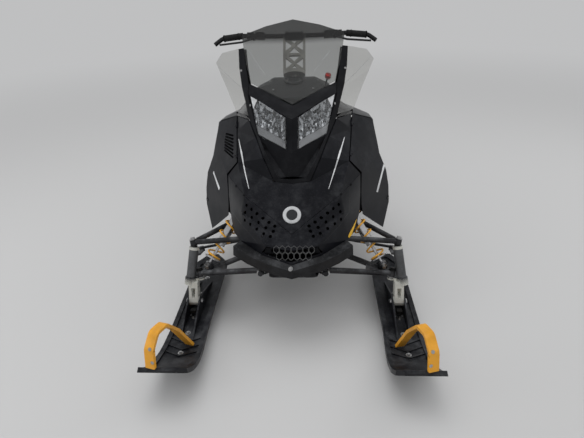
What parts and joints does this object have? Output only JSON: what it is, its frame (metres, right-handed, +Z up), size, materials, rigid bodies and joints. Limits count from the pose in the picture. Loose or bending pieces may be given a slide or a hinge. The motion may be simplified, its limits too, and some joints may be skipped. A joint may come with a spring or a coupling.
{
  "type": "snowmobile",
  "caption": "Black snowmobile with tall smoked windshield, twin headlamps, coil-sprung skis with lifting loops and a lugged track.",
  "frame": {"origin": "on the ground, at the centre of the overall length and width", "axes": "+X towards the rider's left, +Y towards the rear, +Z up"},
  "size_m": [1.194, 2.8902, 1.305],
  "materials": {
    "ski_plastic": "scuffed moulded polyethylene",
    "loop_orange": "moulded, satin",
    "runner_steel": "worn bright",
    "spindle_alloy": "cast, lightly soiled",
    "arm_black": "satin powder coat",
    "shock_alloy": "machined",
    "spring_yellow": "gloss powder coat",
    "frame_alloy": "bare, satin",
    "engine_grey": "plain block",
    "body_black": "moulded in colour, semi-gloss",
    "trim_black": "fine grain",
    "lens_clear": "clear polycarbonate",
    "screen_smoke": "smoked polycarbonate",
    "tunnel_alloy": "satin, brushed",
    "seat_vinyl": "grained vinyl",
    "flap_rubber": "matte",
    "tail_red": "clear red",
    "track_rubber": "matte",
    "wheel_black": "moulded",
    "bar_black": "satin powder coat",
    "grip_rubber": "ribbed"
  },
  "bodies": {
    "chassis": {"upper_arms": "arm_black", "lower_arms": "arm_black", "shocks": "shock_alloy", "shock_springs": "spring_yellow", "front_frame": "frame_alloy", "engine": "engine_grey", "hood": "body_black", "nose": "body_black", "front_bumper": "trim_black", "belly_pan": "trim_black", "grille": "trim_black", "lamp_surround": "trim_black", "headlamp_lenses": "lens_clear", "windshield_frame": "trim_black", "windshield": "screen_smoke", "side_deflectors": "screen_smoke", "tunnel": "tunnel_alloy", "running_boards": "tunnel_alloy", "seat": "seat_vinyl", "tank": "body_black", "console": "trim_black", "rear_bumper": "bar_black", "snow_flap": "flap_rubber", "tail_lamp": "tail_red", "track": "track_rubber", "slide_rails": "frame_alloy", "rear_axle": "wheel_black", "drive_axle": "wheel_black", "skid_arms": "arm_black", "cowls": "body_black"},
    "steering_bars": {"handlebar": "bar_black", "grips": "grip_rubber", "levers": "bar_black"},
    "ski_unit_left": {"spindle_left": "spindle_alloy", "ski_left": "ski_plastic", "ski_loop_left": "loop_orange", "ski_runner_left": "runner_steel"},
    "ski_unit_right": {"spindle_right": "spindle_alloy", "ski_right": "ski_plastic", "ski_loop_right": "loop_orange", "ski_runner_right": "runner_steel"},
    "tie_rod_unit_left": {"tie_rod_left": "arm_black"},
    "tie_rod_unit_right": {"tie_rod_right": "arm_black"},
    "panel_unit_left": {"side_panel_left": "body_black"},
    "panel_unit_right": {"side_panel_right": "body_black"}
  },
  "joints": [
    {"name": "steering", "type": "hinge", "parent": "chassis", "child": "steering_bars", "pos_m": [0, -0.285, 1.048], "axis": [0, 0.53, 0.848], "range_deg": [-36, 36]},
    {"name": "ski_left_steer", "type": "hinge", "parent": "chassis", "child": "ski_unit_left", "pos_m": [0.47, -0.867, 0.215], "axis": [0.176, 0.3394, 0.924], "range_deg": [-30, 30]},
    {"name": "ski_right_steer", "type": "hinge", "parent": "chassis", "child": "ski_unit_right", "pos_m": [-0.47, -0.867, 0.215], "axis": [-0.176, 0.3394, 0.924], "range_deg": [-30, 30]},
    {"name": "tie_rod_left_slide", "type": "slide", "parent": "chassis", "child": "tie_rod_unit_left", "axis": [-0.9844, 0.0607, 0.1652], "range_m": [-0.058, 0.058]},
    {"name": "tie_rod_right_slide", "type": "slide", "parent": "chassis", "child": "tie_rod_unit_right", "axis": [0.9844, 0.0607, 0.1652], "range_m": [-0.058, 0.058]},
    {"name": "side_panel_left_hinge", "type": "hinge", "parent": "chassis", "child": "panel_unit_left", "pos_m": [0.267, -0.689, 0.73], "axis": [-0.0781, -0.8339, -0.5464], "range_deg": [0, 60]},
    {"name": "side_panel_right_hinge", "type": "hinge", "parent": "chassis", "child": "panel_unit_right", "pos_m": [-0.267, -0.689, 0.73], "axis": [-0.0781, 0.8339, 0.5464], "range_deg": [0, 60]}
  ],
  "couplings": [
    {"joint": "ski_left_steer", "follows": "steering", "ratio": 0.833},
    {"joint": "ski_right_steer", "follows": "steering", "ratio": 0.833},
    {"joint": "tie_rod_left_slide", "follows": "steering", "m_per_rad": 0.0905},
    {"joint": "tie_rod_right_slide", "follows": "steering", "m_per_rad": -0.0905}
  ]
}
